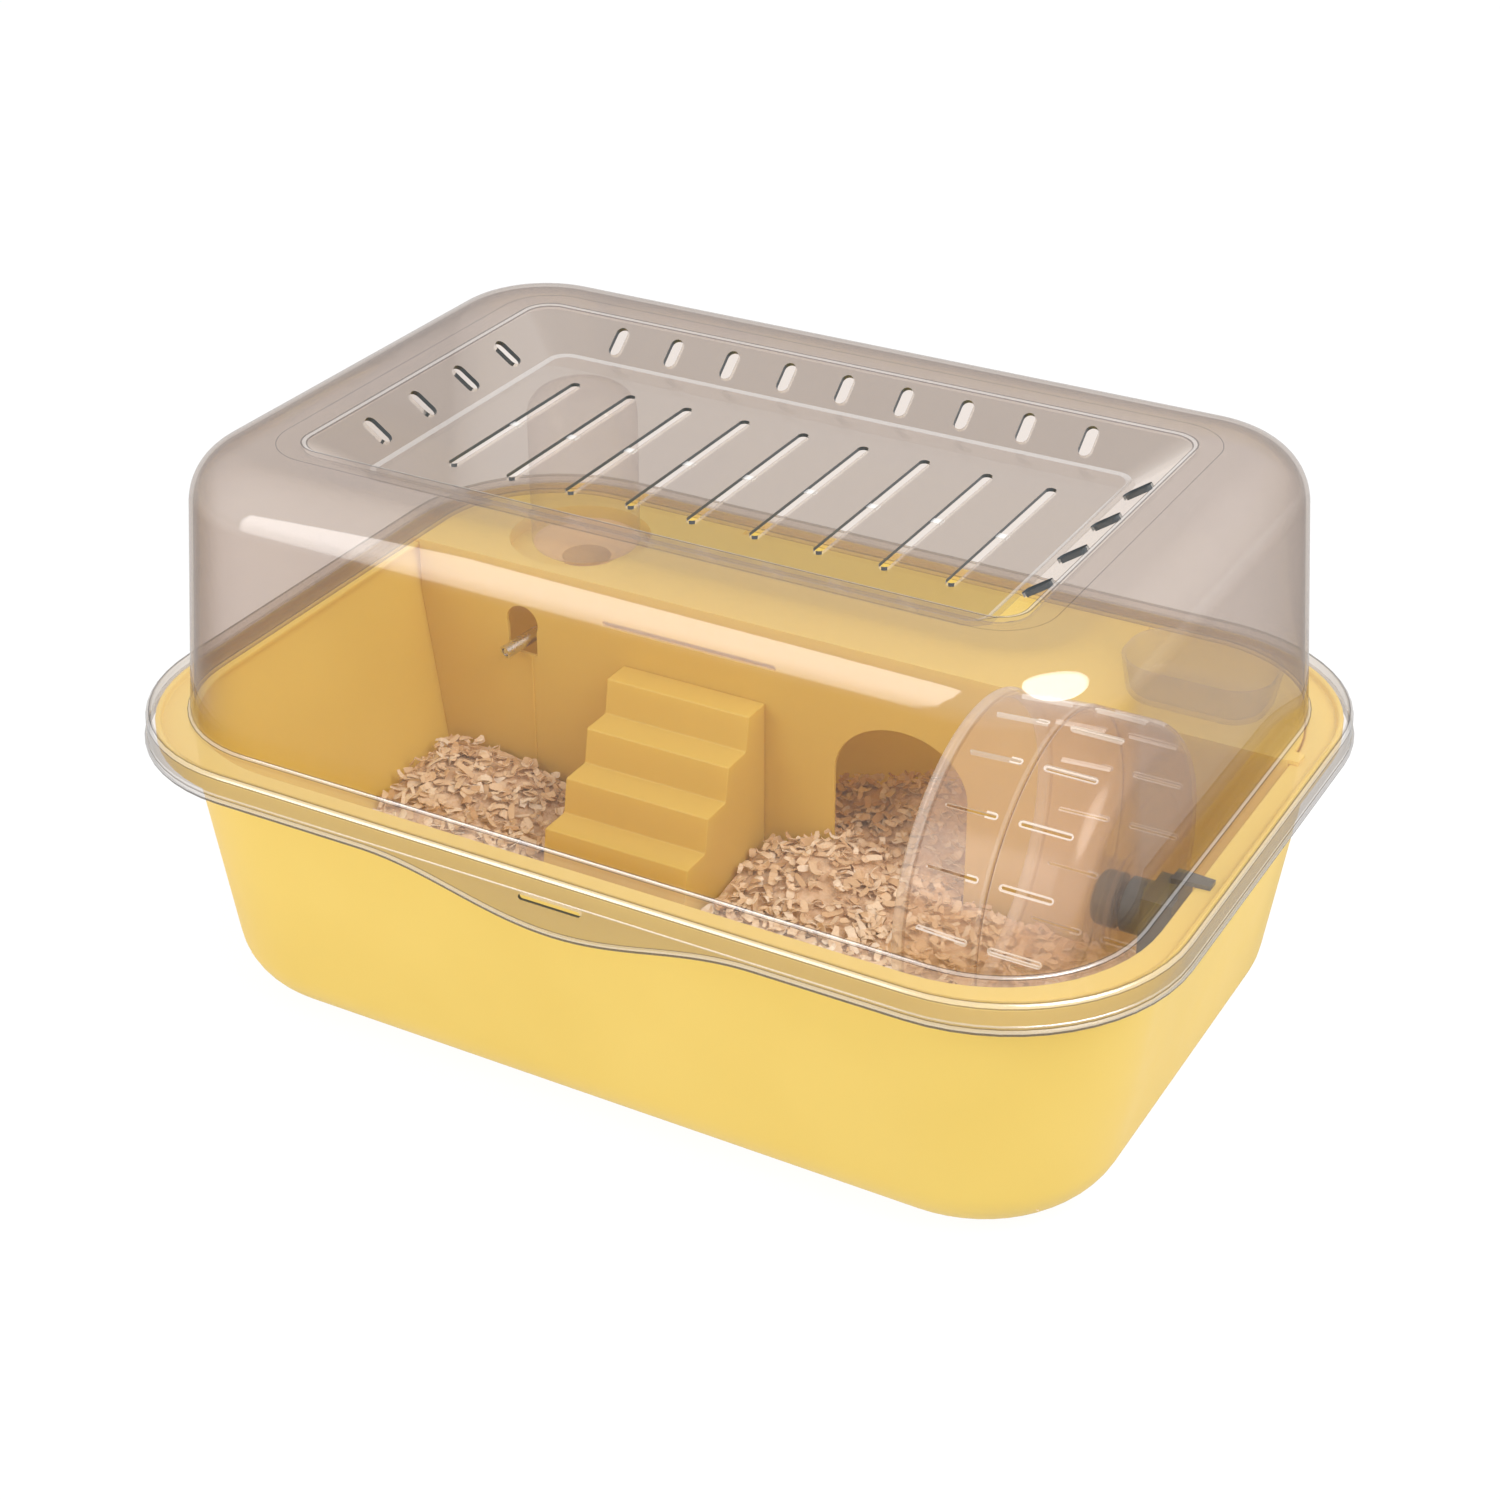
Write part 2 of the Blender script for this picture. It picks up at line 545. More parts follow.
def cover_rows():
    """The cover's outlines, from the recess floor over the dome to the skirt and back inside,
    each with the number of the material before it."""
    plain, edge, line, recess, rim, skirt, slope = range(7)
    top_r = DOME_TOP_R - SHOULDER_R
    lean = math.degrees(math.atan2(DOME_FOOT_R - DOME_TOP_R, COVER_TOP - SHOULDER_R - FLANGE_Z))
    low_z, inner_r = FLANGE_Z - WALL, COVER_R - WALL
    inner_rim = grown(RECESS_RIM, 0.0016, COVER_TOP - WALL)
    inner_floor = grown(RECESS_FLOOR, 0.0016, COVER_TOP - RECESS_DEPTH - FLOOR_WALL)
    rows = []

    def add(outlines, *finishes):
        """Adds outlines. The last finish goes on to the end of them."""
        rows.extend((outline, finishes[min(n, len(finishes) - 1)])
                    for n, outline in enumerate(outlines))

    def around(profile, *finishes):
        add([about_cover(r, z) for r, z in profile], *finishes)

    # The recess, and a fine line around it on the top
    add(bend(grown(RECESS_FLOOR, -0.0012), RECESS_FLOOR, mix(RECESS_FLOOR, RECESS_RIM, 0.05)),
        recess, edge)
    add(bend(mix(RECESS_RIM, RECESS_FLOOR, 0.05), RECESS_RIM, grown(RECESS_RIM, 0.0016)),
        slope, line, edge, edge, line)
    add([grown(RECESS_RIM, 0.0118), grown(RECESS_RIM, 0.0122)], plain, line)
    # The dome and the fillet at its foot
    around(arc(top_r, COVER_TOP - SHOULDER_R, SHOULDER_R, 90, lean, 16), plain)
    around(arc(DOME_FOOT_R + FOOT_FILLET, FLANGE_Z + FOOT_FILLET, FOOT_FILLET, 180, 270, 5),
           plain, line, edge, edge, edge, line)
    # The flange and its bead
    around([(COVER_R - 0.0062, FLANGE_Z)], rim)
    around(arc(SKIRT_R - 0.0002 - BEAD_R, FLANGE_Z - 0.0008, BEAD_R, 150, 0, 9),
           rim, rim, rim, rim, skirt, line, edge, edge, edge, line)
    # The skirt with its rib and its thick lower edge
    around([(SKIRT_R, 0.1400), (SKIRT_R, RIB_Z), (SKIRT_R + 0.0003, RIB_Z - 0.0003),
            (SKIRT_R + 0.0003, RIB_Z - 0.0007), (SKIRT_R, RIB_LOW_Z)],
           skirt, skirt, edge, edge, edge)
    around([(SKIRT_R, SKIRT_EDGE_Z), (SKIRT_R + 0.0002, SKIRT_EDGE_Z - 0.0004)], skirt, line)
    around([(COVER_R - 0.0002, SKIRT_Z + 0.0022),
            (COVER_R, SKIRT_Z + 0.0015), (COVER_R - 0.0001, SKIRT_Z + 0.0007),
            (COVER_R - 0.0005, SKIRT_Z + 0.0001), (COVER_R - 0.0010, SKIRT_Z)],
           edge, edge, line, line)
    # Back up the inside
    around([(inner_r, SKIRT_Z + 0.0004), (inner_r - 0.0008, SKIRT_EDGE_Z)], line, skirt)
    around([(inner_r - 0.0010, 0.1380), (inner_r - 0.0018, low_z - 0.0010),
            (inner_r - 0.0028, low_z), (DOME_FOOT_R + FOOT_FILLET, low_z)], skirt, skirt, rim)
    around(arc(DOME_FOOT_R + FOOT_FILLET, FLANGE_Z + FOOT_FILLET, FOOT_FILLET + WALL,
               255, 180, 4), plain)
    around(arc(top_r, COVER_TOP - SHOULDER_R, SHOULDER_R - WALL, lean, 90, 16), plain)
    add(bend(grown(inner_rim, 0.0014), inner_rim, mix(inner_rim, inner_floor, 0.05)), plain)
    add(bend(mix(inner_floor, inner_rim, 0.05), inner_floor, grown(inner_floor, -0.0012)),
        slope, recess)
    return rows


def cover_slots():
    """Cutters for the slots. Those in the front slope are seen edge on through the top, so their
    cut faces take the rim's clearer material."""
    rows = [(shift(x, 0, RECESS_FLOOR[3]) @ turn(90, "Z"), *LONG_SLOT) for x in COLUMNS]
    front_rows = []
    long_slope = math.degrees(math.atan2(RECESS_DEPTH, RECESS_RIM[1] - RECESS_FLOOR[1]))
    end_slope = math.degrees(math.atan2(RECESS_DEPTH, RECESS_RIM[0] - RECESS_FLOOR[0]))
    middle_y = (RECESS_RIM[1] + RECESS_FLOOR[1]) / 2
    middle_x = (RECESS_RIM[0] + RECESS_FLOOR[0]) / 2
    middle_z = COVER_TOP - RECESS_DEPTH / 2
    for half_turn, long_rows in ((0, rows), (180, front_rows)):
        for x in COLUMNS:
            place = shift(x, middle_y, middle_z) @ turn(long_slope, "X") @ turn(90, "Z")
            long_rows.append((turn(half_turn, "Z") @ place, *SLOPE_SLOT))
        for i in range(END_SLOTS):
            y = (i - (END_SLOTS - 1) / 2) * END_PITCH
            place = shift(middle_x, y, middle_z) @ turn(-end_slope, "Y")
            rows.append((turn(half_turn, "Z") @ place, *SLOPE_SLOT))
    rows.append((shift(TAB_X, -COVER_W, SKIRT_Z + 0.001) @ turn(90, "X"), *TAB_SLOT))
    return cutter_from(rows, SMOKED_CUT), cutter_from(front_rows, SMOKED_RIM)


def add_bridges(mesh):
    """Joins a thin bridge across the middle of each long slot to the cover's mesh."""
    number = len(mesh.materials)
    mesh.materials.append(SMOKED_BRIDGE)
    built = bmesh.new()
    built.from_mesh(mesh)
    low_z = RECESS_FLOOR[3] - FLOOR_WALL
    bridge = Matrix.Diagonal((LONG_SLOT[1] + 0.0004, 0.004, 0.0007, 1))
    for x in COLUMNS:
        place = shift(x, 0, low_z + 0.0004) @ bridge
        made = bmesh.ops.create_cube(built, size=1.0, matrix=place)
        for face in {face for vert in made["verts"] for face in vert.link_faces}:
            face.material_index = number
    built.to_mesh(mesh)
    built.free()
    return mesh


def make_cover():
    """The cover, in one shell. Its materials come in the order that cover_rows numbers them."""
    materials = (SMOKED, SMOKED_EDGE, SMOKED_LINE, SMOKED_RECESS, SMOKED_RIM, SMOKED_SKIRT,
                 SMOKED_SLOPE)
    outlines, finishes = zip(*cover_rows())
    mesh = lofted("cover_shell", outlines, drop_tab, finishes, materials.index(SMOKED_RECESS))
    for material in materials:
        mesh.materials.append(material)
    for cutter in cover_slots():
        mesh = cut(mesh, cutter)
    add_object("cover_shell", smooth(add_bridges(mesh), 34), "cover_body", "smoked_plastic", "cover")


# ---------------------------------------------------------------- tub

TUB_CX, TUB_CY = 0.156, 0.0795
TUB_FOOT_R = 0.030
TUB_CORNER_R = 0.0662
TUB_DRAFT = 0.137
TUB_WALL = 0.0024
TUB_FLANGE_Z = 0.1376
TUB_OPENING_R = 0.0752
TUB_OUTER_R = COVER_R - 0.0054


def about_tub(r, z):
    """An outline of the tub, by its distance from the corner centres."""
    return TUB_CX + r, TUB_CY + r, r, z


def tub_r(z):
    """The outside of the tub's leaning wall at a height."""
    lean = math.atan(TUB_DRAFT)
    return TUB_CORNER_R + TUB_DRAFT * (z - TUB_FOOT_R * (1 - math.sin(lean)))


def make_tub():
    """The tub: up the outside, over the flange and its raised edge, and down the inside."""
    lean = math.degrees(math.atan(TUB_DRAFT))
    foot_r = TUB_CORNER_R - TUB_FOOT_R * math.cos(math.radians(lean))
    floor_r = foot_r - 0.004
    wall_z = (0.06, 0.09, 0.12)
    foot = arc(foot_r, TUB_FOOT_R, TUB_FOOT_R, -90, -lean, 14)
    inner_r = TUB_FOOT_R - TUB_WALL
    inner_foot = arc(foot_r, TUB_FOOT_R, inner_r, -lean, -90, 14)
    low_z, rim_z = TUB_FLANGE_Z - TUB_WALL, TUB_HIGH.z
    outlines = [about_tub(floor_r, 0.0)]
    outlines += [about_tub(r, z) for r, z in foot]
    outlines += [about_tub(tub_r(z), z) for z in (*wall_z, low_z - 0.002)]
    outlines += [about_tub(tub_r(low_z) + 0.0012, low_z)]
    rim = [(TUB_OUTER_R - 0.0028, low_z), (TUB_OUTER_R - 0.0026, 0.1320),
           (TUB_OUTER_R - 0.0002, 0.1320), (TUB_OUTER_R, 0.1326)]
    rim += arc(TUB_OUTER_R - 0.0014, rim_z - 0.0014, 0.0014, 0, 180, 8)
    rim += [(TUB_OUTER_R - 0.0030, TUB_FLANGE_Z + 0.0006), (TUB_OUTER_R - 0.0038, TUB_FLANGE_Z)]
    outlines += [about_cover(r, z) for r, z in rim]
    outlines += [about_tub(r, z) for r, z in
                 arc(TUB_OPENING_R + 0.0010, TUB_FLANGE_Z - 0.0010, 0.0010, 90, 180, 4)]
    outlines += [about_tub(TUB_OPENING_R, low_z + 0.0004)]
    outlines += [about_tub(tub_r(z) - TUB_WALL, z) for z in (low_z, *reversed(wall_z))]
    outlines += [about_tub(r, z) for r, z in inner_foot]
    outlines += [about_tub(floor_r, TUB_WALL)]
    mesh = smooth(lofted("tub_shell", outlines), 40)
    paint(add_object("tub_shell", mesh, "tub_body", "yellow_plastic", "tub"), YELLOW)


# ---------------------------------------------------------------- loft and stairs

def make_house():
    for node, bevel in (("loft", 0.0006), ("stairs", 0.0013)):
        add_moulding(node, from_cad(node, bevel), "yellow_plastic", FITTING_YELLOW)


# ---------------------------------------------------------------- wheel

WHEEL_Y = (DISC_LOW.y + DISC_HIGH.y) / 2
WHEEL_Z = (DISC_LOW.z + DISC_HIGH.z) / 2
WHEEL_R = (DISC_HIGH.z - DISC_LOW.z) / 2
WHEEL_X, SEAM_X, DISC_X = RING_LOW.x, DISC_LOW.x, DISC_HIGH.x
WHEEL_WALL = 0.0018
WHEEL_INNER_R = WHEEL_R - WHEEL_WALL
WHEEL_SHOULDER = 0.012
SHOULDER_X = DISC_X - WHEEL_SHOULDER
HUB_X = DISC_X - 0.0035
RUNGS = 18
FIRST_RUNG_DEGREES = 11.5


def on_wheel_axis(x, y, z):
    """Puts a point that is turned about Z onto the wheel's axis, along X."""
    return Vector((z, WHEEL_Y + x, WHEEL_Z + y))


def rung_slots(from_x, to_x):
    """Cutters for the rungs: a shallow, wider step around each slot, and the slot itself."""
    steps, slots = [], []
    for i in range(RUNGS):
        place = shift((from_x + to_x) / 2, WHEEL_Y, WHEEL_Z)
        place = place @ turn(FIRST_RUNG_DEGREES + i * 360 / RUNGS, "X")
        place = place @ shift(0, WHEEL_R, 0) @ turn(90, "X")
        steps.append((place, to_x - from_x, 0.0032, 0.0016))
        slots.append((place, to_x - from_x - 0.0016, 0.0014, 0.012))
    return cutter_from(steps, WHEEL_CUT), cutter_from(slots, WHEEL_CUT)


def wheel_ring_points():
    """The open half, from its rolled edge along the outside to the seam and back inside."""
    plain, edge, line = range(3)
    edge_r = WHEEL_R - 0.003
    join_x = SEAM_X - 0.0002
    ring = [((edge_r - 0.0034, WHEEL_X + 0.0008), edge), ((edge_r - 0.0026, WHEEL_X), edge),
            ((edge_r, WHEEL_X), edge)]
    ring += [(p, edge) for p in arc(edge_r, WHEEL_X + 0.0016, 0.0016, -60, 80, 6)]
    ring += [((edge_r + 0.0005, WHEEL_X + 0.0046), line)]
    ring += [(mix((edge_r + 0.0006, WHEEL_X + 0.006), (WHEEL_R - 0.0002, join_x - 0.0022),
                  t / 4), plain) for t in range(4)]
    ring += [((WHEEL_R - 0.0002, join_x - 0.0022), edge), ((WHEEL_R, join_x - 0.0016), edge),
             ((WHEEL_R, join_x - 0.0005), line), ((WHEEL_R - 0.0003, join_x), line),
             ((WHEEL_INNER_R, join_x), plain), ((WHEEL_INNER_R, join_x - 0.0016), plain)]
    ring += [(mix((WHEEL_INNER_R - 0.0002, join_x - 0.0022), (edge_r - WHEEL_WALL + 0.0006,
                  WHEEL_X + 0.006), t / 4), plain) for t in range(5)]
    ring += [((edge_r - WHEEL_WALL + 0.0004, WHEEL_X + 0.0044), edge)]
    return ring


def wheel_disc_points():
    """The closed half, from the seam over the shoulder to the hub and back inside."""
    plain, edge, line = range(3)
    flat_r = WHEEL_R - WHEEL_SHOULDER
    bore_r, hub_r, cone_r, groove_r = 0.00408, 0.0205, 0.030, 0.050
    disc = [((WHEEL_R - 0.0003, SEAM_X), line), ((WHEEL_R, SEAM_X + 0.0004), edge),
            ((WHEEL_R, SEAM_X + 0.0010), plain), ((WHEEL_R, (SEAM_X + SHOULDER_X) / 2), plain)]
    disc += [(p, plain) for p in arc(flat_r, SHOULDER_X, WHEEL_SHOULDER, 0, 90, 12)]
    disc += [((groove_r + 0.002, DISC_X), plain), ((groove_r + 0.001, DISC_X - 0.0004), plain),
             ((groove_r - 0.001, DISC_X - 0.0004), plain), ((groove_r - 0.002, DISC_X), plain),
             ((cone_r, DISC_X), plain), ((hub_r, HUB_X), plain), ((bore_r, HUB_X), edge),
             ((bore_r, HUB_X - 0.003), plain), ((hub_r + 0.0005, HUB_X - 0.003), plain),
             ((hub_r + 0.0010, HUB_X - WHEEL_WALL), plain),
             ((cone_r, DISC_X - WHEEL_WALL), plain), ((groove_r, DISC_X - WHEEL_WALL), plain)]
    disc += [(p, plain) for p in
             arc(flat_r, SHOULDER_X, WHEEL_SHOULDER - WHEEL_WALL, 90, 0, 12)]
    disc += [((WHEEL_INNER_R, (SEAM_X + SHOULDER_X) / 2), plain), ((WHEEL_INNER_R, SEAM_X), line)]
    return disc


def add_wheel_half(name, points, slots, node):
    """Adds a half of the wheel, turned from rows of a point and the number of its material."""
    profile, finishes = zip(*points)
    mesh = revolved(name, profile, on_wheel_axis, 144, finishes)
    for material in (WHEEL_CLEAR, WHEEL_EDGE, WHEEL_LINE):
        mesh.materials.append(material)
    for cutter in slots:
        mesh = cut(mesh, cutter)
    add_object(name, smooth(mesh, 34), "wheel", "clear_plastic", node)


def make_wheel():
    add_wheel_half("wheel_open_half", wheel_ring_points(),
                   rung_slots(WHEEL_X + 0.0095, SEAM_X - 0.005), "wheel_ring")
    add_wheel_half("wheel_closed_half", wheel_disc_points(),
                   rung_slots(SEAM_X + 0.004, SHOULDER_X + 0.002), "wheel_disc")


def narrow_hook(mesh):
    """Tapers the holder's strap and hook towards the hook's end."""
    for vert in mesh.vertices:
        if vert.co.z > WHEEL_Z + 0.0125 and abs(vert.co.y - WHEEL_Y) < 0.0062:
            reach = min(1.0, max(0.0, (vert.co.x - 0.222) / 0.016))
            vert.co.y = WHEEL_Y + (vert.co.y - WHEEL_Y) * (0.72 - 0.22 * reach)


def make_wheel_holder():
    for node, bevel in (("axle_knob", 0.0005), ("wheel_bracket", 0.0012)):
        mesh = from_cad(node, bevel)
        if node == "wheel_bracket":
            narrow_hook(mesh)
        add_moulding(node, mesh, "grey_plastic", GREY)


# ---------------------------------------------------------------- bottle

BOTTLE_X = (BOTTLE_LOW.x + BOTTLE_HIGH.x) / 2
BOTTLE_Y = (BOTTLE_LOW.y + BOTTLE_HIGH.y) / 2
BOTTLE_R = (BOTTLE_HIGH.x - BOTTLE_LOW.x) / 2


def on_bottle_axis(x, y, z):
    """Puts a point that is turned about Z onto the bottle's axis."""
    return Vector((BOTTLE_X + x, BOTTLE_Y + y, z))


def make_bottle():
    top, low = BOTTLE_HIGH.z, BOTTLE_LOW.z
    neck_r, dome, grooves = 0.0125, 0.014, (0.150, 0.157)
    shoulder_z = low + 0.013
    deck_z = LOFT_HIGH.z
    clear, shade = range(2)
    profile = [(0.0, low), (neck_r - 0.0004, low), (neck_r, low + 0.0004), (neck_r, shoulder_z),
               (BOTTLE_R - 0.003, shoulder_z + 0.0070), (BOTTLE_R - 0.0008, shoulder_z + 0.0085),
               (BOTTLE_R, shoulder_z + 0.011)]
    for z in grooves:
        profile += [(BOTTLE_R, z), (BOTTLE_R - 0.0006, z + 0.0008),
                    (BOTTLE_R - 0.0006, z + 0.0016), (BOTTLE_R, z + 0.0024)]
    profile += arc(BOTTLE_R - dome, top - dome, dome, 0, 90, 12)
    profile += [(0.006, top), (0.005, top - 0.0006), (0.0, top - 0.0006)]
    finishes = [shade if z < deck_z - 0.002 else clear for r, z in profile]
    mesh = smooth(revolved("bottle_shell", profile, on_bottle_axis, 96, finishes), 40)
    for material in (BOTTLE_CLEAR, BOTTLE_SHADE):
        mesh.materials.append(material)
    add_object("bottle_shell", mesh, "tub_body", "clear_plastic", "bottle")
    add_moulding("bottle_cap", from_cad("bottle_cap", 0.0006), "yellow_plastic", YELLOW)


# ---------------------------------------------------------------- dish

def make_dish():
    centre = (DISH_LOW + DISH_HIGH) / 2
    base, top = DISH_LOW.z, DISH_HIGH.z
    half_l, half_w, rim_r = (DISH_HIGH.x - DISH_LOW.x) / 2, (DISH_HIGH.y - DISH_LOW.y) / 2, 0.020
    wall = 0.0018
    lean = 0.004

    def about(shrink, z):
        return half_l - shrink, half_w - shrink, rim_r - shrink, z

    outlines = [about(lean + 0.006, base)]
    outlines += bend(about(lean + 0.003, base), about(lean, base), about(lean - 0.001, base + 0.004))
    outlines += [about(0.0006, top - 0.002)]
    outlines += bend(about(0.0002, top - 0.0008), about(0, top), about(wall * 0.6, top), 3)
    outlines += bend(about(wall * 0.7, top), about(wall + 0.0002, top), about(wall + 0.0004,
                     top - 0.0012), 3)
    outlines += bend(about(lean + wall - 0.001, base + 0.005), about(lean + wall, base + wall),
                     about(lean + wall + 0.004, base + wall))
    mesh = lofted("dish_shell", outlines, lambda p: p + Vector((centre.x, centre.y, 0)))
    paint(add_object("dish_shell", smooth(mesh, 40), "dish", "smoked_plastic", "food_dish"),
          DISH_CLEAR)


# ---------------------------------------------------------------- bedding

LITTER_FRONT, LITTER_HOUSE = 0.018, 0.016
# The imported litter's top lies this far below the loose flakes
FLAKES_DEEP = 0.003
FLAKE_COUNT = 6400
FLAKE_LENGTHS, FLAKE_WIDTHS = (0.005, 0.011), (0.0018, 0.0046)
# The front face of the loft's front wall, just behind its ribs, and the doorway's sides
LOFT_WALL_Y = LOFT_LOW.y + 0.0008
DOOR_LOW, DOOR_HIGH = 0.008, 0.079
# Heaps of litter: middle x, middle y, spread x, spread y, height
HEAPS = ((-0.180, 0.058, 0.044, 0.034, 0.009), (0.012, 0.060, 0.034, 0.030, 0.018),
         (0.070, 0.020, 0.060, 0.060, 0.005), (0.045, 0.128, 0.055, 0.030, 0.028),
         (-0.207, 0.035, 0.048, 0.050, 0.011))


def litter_height(x, y):
    """The height of the loose flakes over a place, with the heaps and a slow wave."""
    height = LITTER_FRONT if y < LOFT_LOW.y else LITTER_HOUSE
    for at_x, at_y, wide, deep, high in HEAPS:
        height += high * math.exp(-((x - at_x) / wide) ** 2 - ((y - at_y) / deep) ** 2)
    return height + 0.0022 * noise.noise(Vector((x, y, 0)) * 60)


def room_at(z):
    """The inside of the tub at a height, less a little space, as an outline."""
    space = 0.001
    r = TUB_FOOT_R - TUB_WALL
    foot_r = TUB_CORNER_R - TUB_FOOT_R * math.cos(math.atan(TUB_DRAFT))
    if z >= TUB_FOOT_R:
        return about_tub(tub_r(z) - TUB_WALL - space, z)
    drop = min(TUB_FOOT_R - z, r)
    return about_tub(foot_r + math.sqrt(r * r - drop * drop) - space, z)


def inside_room(x, y, z):
    """True where a point lies inside the tub."""
    half_l, half_w, r, _ = room_at(z)
    out_x, out_y = max(0.0, abs(x) - (half_l - r)), max(0.0, abs(y) - (half_w - r))
    return abs(x) <= half_l and abs(y) <= half_w and math.hypot(out_x, out_y) <= r


def in_fitting(x, y, margin):
    """True where the loft's front wall or the stairs stand."""
    half_wall = 0.001
    in_doorway = DOOR_LOW + margin < x < DOOR_HIGH - margin
    in_wall = abs(y - LOFT_WALL_Y - half_wall) < half_wall + margin and not in_doorway
    in_stairs = (STAIRS_LOW.x - margin < x < STAIRS_HIGH.x + margin
                 and STAIRS_LOW.y - margin < y < LOFT_WALL_Y)
    return in_wall or in_stairs


def make_litter():
    """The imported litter: a closed solid with a rolling top, fitted to the tub and the house."""
    step = 0.004
    columns, rows = 112, 74
    built = bmesh.new()
    tops, floors = {}, {}
    for i in range(columns + 1):
        for j in range(rows + 1):
            x, y = (i - columns / 2) * step, (j - rows / 2) * step
            if in_fitting(x, y, 0.0008):
                continue
            top = litter_height(x, y) - FLAKES_DEEP
            if not inside_room(x, y, top):
                continue
            floor = TUB_WALL + 0.0006
            while not inside_room(x, y, floor) and floor < top - 0.001:
                floor += 0.001
            tops[i, j] = built.verts.new((x, y, top))
            floors[i, j] = built.verts.new((x, y, min(floor, top - 0.001)))
    cells = [(i, j) for i in range(columns) for j in range(rows)
             if all(k in tops for k in ((i, j), (i + 1, j), (i + 1, j + 1), (i, j + 1)))]
    filled = set(cells)
    for i, j in cells:
        corners = ((i, j), (i + 1, j), (i + 1, j + 1), (i, j + 1))
        built.faces.new([tops[k] for k in corners])
        built.faces.new([floors[k] for k in reversed(corners)])
        for n, beside in enumerate(((i, j - 1), (i + 1, j), (i, j + 1), (i - 1, j))):
            if beside not in filled:
                a, b = corners[n], corners[(n + 1) % 4]
                built.faces.new((tops[b], tops[a], floors[a], floors[b]))
    loose = [v for v in built.verts if not v.link_faces]
    bmesh.ops.delete(built, geom=loose, context="VERTS")
    bmesh.ops.recalc_face_normals(built, faces=built.faces)
    mesh = bpy.data.meshes.new("packed_litter")
    built.to_mesh(mesh)
    built.free()
    mesh.shade_smooth()
    mesh.set_sharp_from_angle(angle=math.radians(60))
    paint(add_object("packed_litter", mesh, "tub_body", "wood_shavings", "bedding"), SAWDUST)


def flake(draw, length, width, curl, thick=0.00035, sections=4):
    """A curled shaving, as a thin closed strip about its middle."""
    points = []
    for i in range(sections + 1):
        t = i / sections - 0.5
        angle = curl * t
        radius = length / curl if abs(curl) > 1e-3 else 0
        x = radius * math.sin(angle)
        z = radius * (1 - math.cos(angle))
        half = width / 2 * (1 - 0.35 * abs(2 * t) ** 3) * draw.uniform(0.85, 1.1)
        up = Vector((-math.sin(angle), 0, math.cos(angle))) * thick / 2
        for side in (-1, 1):
            for face in (-1, 1):
                points.append(Vector((x, side * half, z)) + up * face)
    faces = []
    for i in range(sections):
        a, b = 4 * i, 4 * i + 4
        faces += [(a, b, b + 1, a + 1), (a + 1, b + 1, b + 3, a + 3), (a + 3, b + 3, b + 2, a + 2),
                  (a + 2, b + 2, b, a)]
    end = 4 * sections
    faces += [(0, 1, 3, 2), (end, end + 2, end + 3, end + 1)]
    return points, faces


def make_shavings(count):
    """Loose curled flakes scattered over the litter."""
    draw = random.Random(11)
    points, faces = [], []
    made = 0
    while made < count:
        x, y = draw.uniform(-0.222, 0.222), draw.uniform(-0.146, 0.146)
        length = draw.uniform(*FLAKE_LENGTHS)
        reach = length / 2 + 0.0005
        top = litter_height(x, y)
        if in_fitting(x, y, reach) or not inside_room(x, y, top):
            continue
        room = room_at(top)
        if abs(x) > room[0] - reach or abs(y) > room[1] - reach:
            continue
        new_points, new_faces = flake(draw, length, draw.uniform(*FLAKE_WIDTHS),
                                      draw.choice((-1, 1)) * draw.uniform(0.3, 2.6))
        lift = draw.uniform(-0.002, 0.0022)
        place = (shift(x, y, top + lift) @ turn(draw.uniform(0, 360), "Z")
                 @ turn(draw.gauss(0, 22), "X") @ turn(draw.gauss(0, 20), "Y"))
        start = len(points)
        points += [place @ p for p in new_points]
        faces += [tuple(start + k for k in face) for face in new_faces]
        made += 1
    mesh = bpy.data.meshes.new("loose_shavings")
    mesh.from_pydata([tuple(p) for p in points], [], faces)
    paint(add_object("loose_shavings", mesh, "tub_body", "wood_shavings"), SHAVING)


# ---------------------------------------------------------------- stage

FLOOR_HALF = 60
SKY_IN_REFLECTIONS = 0.86


def make_floor():
    """A white floor that still shows a faint shadow."""
    points = [(x * FLOOR_HALF, y * FLOOR_HALF, 0) for x, y in ((-1, -1), (1, -1), (1, 1), (-1, 1))]
    mesh = bpy.data.meshes.new("floor")
    mesh.from_pydata(points, [], [(0, 1, 2, 3)])
    floor = bpy.data.objects.new("floor", mesh)
    floor.location.z = -0.0004
    COLLECTION.objects.link(floor)
    s = Shader("floor_white")
    glow = s.node("Emission", {"Color": (1, 1, 1, 1), "Strength": 0.93}).outputs["Emission"]
    paper = s.node("BsdfDiffuse", {"Color": (0.10, 0.10, 0.10, 1)}).outputs["BSDF"]
    paint(floor, s.finish(s.node("AddShader", {0: glow, 1: paper}).outputs["Shader"]))


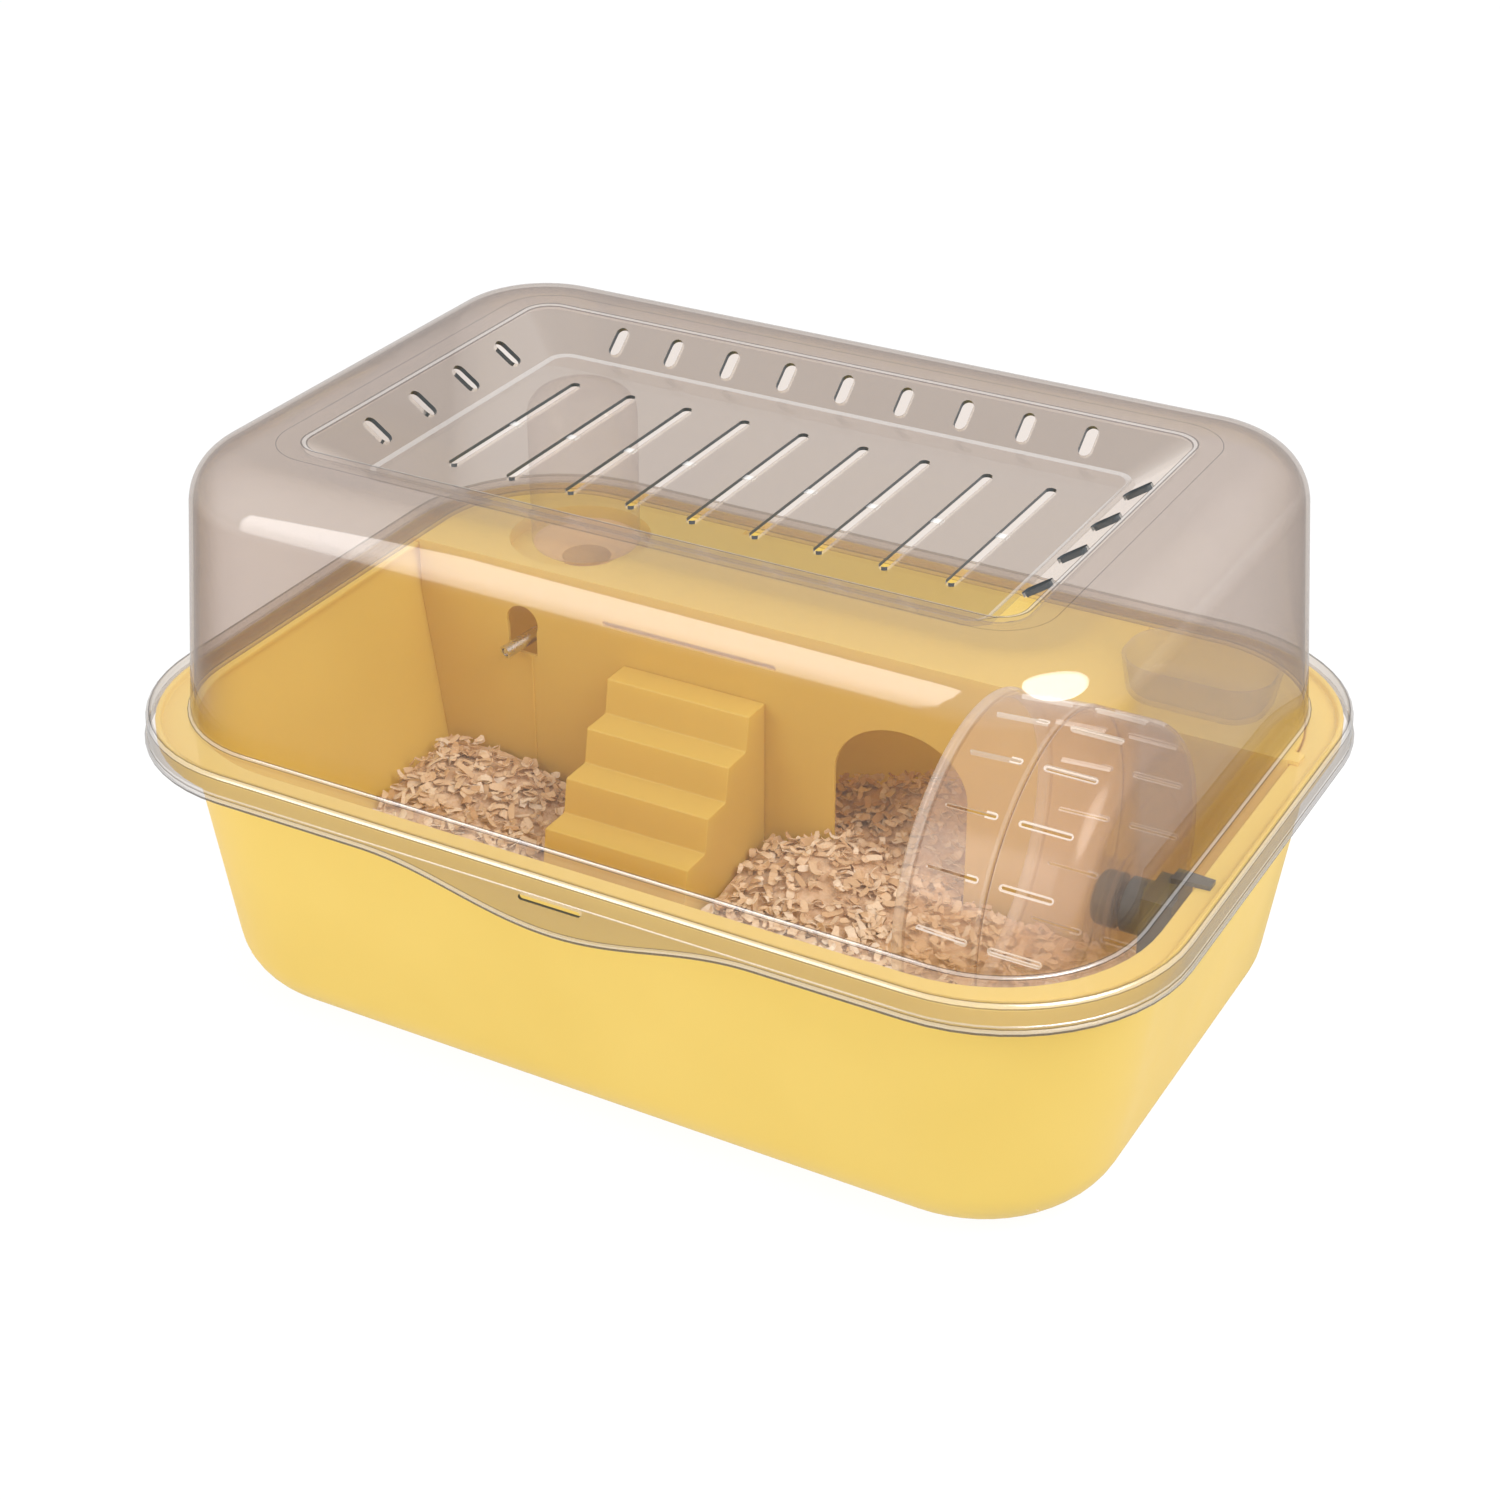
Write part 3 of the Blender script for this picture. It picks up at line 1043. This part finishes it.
def make_sky():
    """A sky that is white to the camera and slightly greyer in reflections."""
    world = bpy.data.worlds.new("studio")
    world.use_nodes = True
    tree = world.node_tree
    path = tree.nodes.new("ShaderNodeLightPath")
    share = tree.nodes.new("ShaderNodeMapRange")
    share.inputs["To Min"].default_value = SKY_IN_REFLECTIONS
    share.inputs["To Max"].default_value = 1.0
    tree.links.new(path.outputs["Is Camera Ray"], share.inputs["Value"])
    tree.links.new(share.outputs["Result"], tree.nodes["Background"].inputs["Strength"])
    tree.nodes["Background"].inputs["Color"].default_value = (1, 1, 1, 1)
    bpy.context.scene.world = world


def add_softbox(name, place, target, size, watts, shape="RECTANGLE"):
    """A soft lamp that shows only in reflections."""
    data = bpy.data.lights.new(name, "AREA")
    data.shape = shape
    data.size, data.size_y = size
    data.energy = watts
    lamp = bpy.data.objects.new(name, data)
    lamp.visible_camera = False
    lamp.visible_transmission = False
    lamp.location = place
    lamp.rotation_euler = (Vector(target) - Vector(place)).to_track_quat("-Z", "Y").to_euler()
    COLLECTION.objects.link(lamp)


def make_camera():
    camera = bpy.data.objects.new("camera", bpy.data.cameras.new("camera"))
    camera.data.lens = 66.95
    camera.data.sensor_width = 36
    camera.data.shift_y = -0.0076
    camera.location = (0.53733, -0.96723, 0.75338)
    camera.rotation_euler = (math.radians(90 - 29.72), 0, math.radians(29.04))
    COLLECTION.objects.link(camera)
    bpy.context.scene.camera = camera
    bpy.context.scene.view_settings.view_transform = "Standard"


make_floor()
make_sky()
add_softbox("front_softbox", (-0.71, -1.38, 0.76), (0, -0.13, 0.25), (0.75, 1.35), 7.4)
add_softbox("round_softbox", (0.93, -0.23, 1.21), (0.2, -0.12, 0.26), (1.05, 1.05), 13, "DISK")
make_camera()
make_cover()
make_tub()
make_house()
make_wheel()
make_wheel_holder()
make_bottle()
make_dish()
make_litter()
make_shavings(FLAKE_COUNT)

for metal in ("wheel_axle", "drinking_spout", "spout_ball"):
    paint(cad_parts[metal], STEEL)
paint(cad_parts["bottle_seal"], RUBBER)
